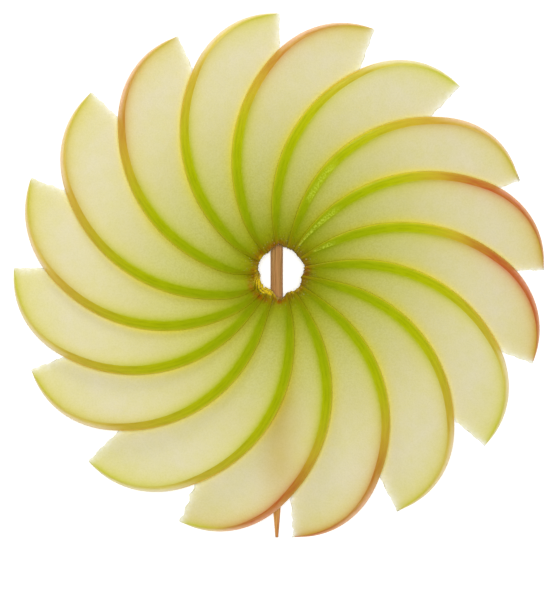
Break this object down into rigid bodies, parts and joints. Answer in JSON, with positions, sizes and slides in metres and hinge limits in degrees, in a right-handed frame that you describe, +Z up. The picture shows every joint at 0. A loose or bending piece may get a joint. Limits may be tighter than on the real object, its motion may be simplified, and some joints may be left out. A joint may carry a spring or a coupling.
{
  "type": "apple fan",
  "caption": "Fan of thin half-moon apple slices laid round a small open centre like the blades of a wheel, each over the one before, with a pointed wooden skewer under them",
  "frame": {"origin": "on the surface the fan lies on, under the middle of its outline", "axes": "+X is the fan's right and +Y its top as shown, with the skewer's point towards -Y; +Z is up, out of the shown side"},
  "size_m": [0.127, 0.1254, 0.0101],
  "materials": {
    "apple_slice": "fresh cut apple: moist, fine-grained pale cream-yellow flesh, with a thin glossy yellow-green skin blushed orange and red",
    "skewer_wood": "plain unvarnished bamboo with fine lengthwise grain"
  },
  "bodies": {
    "root": {"slice_01": "apple_slice", "slice_02": "apple_slice", "slice_03": "apple_slice", "slice_04": "apple_slice", "slice_05": "apple_slice", "slice_06": "apple_slice", "slice_07": "apple_slice", "slice_08": "apple_slice", "slice_09": "apple_slice", "slice_10": "apple_slice", "slice_11": "apple_slice", "slice_12": "apple_slice", "slice_13": "apple_slice", "slice_14": "apple_slice", "slice_15": "apple_slice", "slice_16": "apple_slice", "skewer": "skewer_wood"}
  },
  "joints": []
}
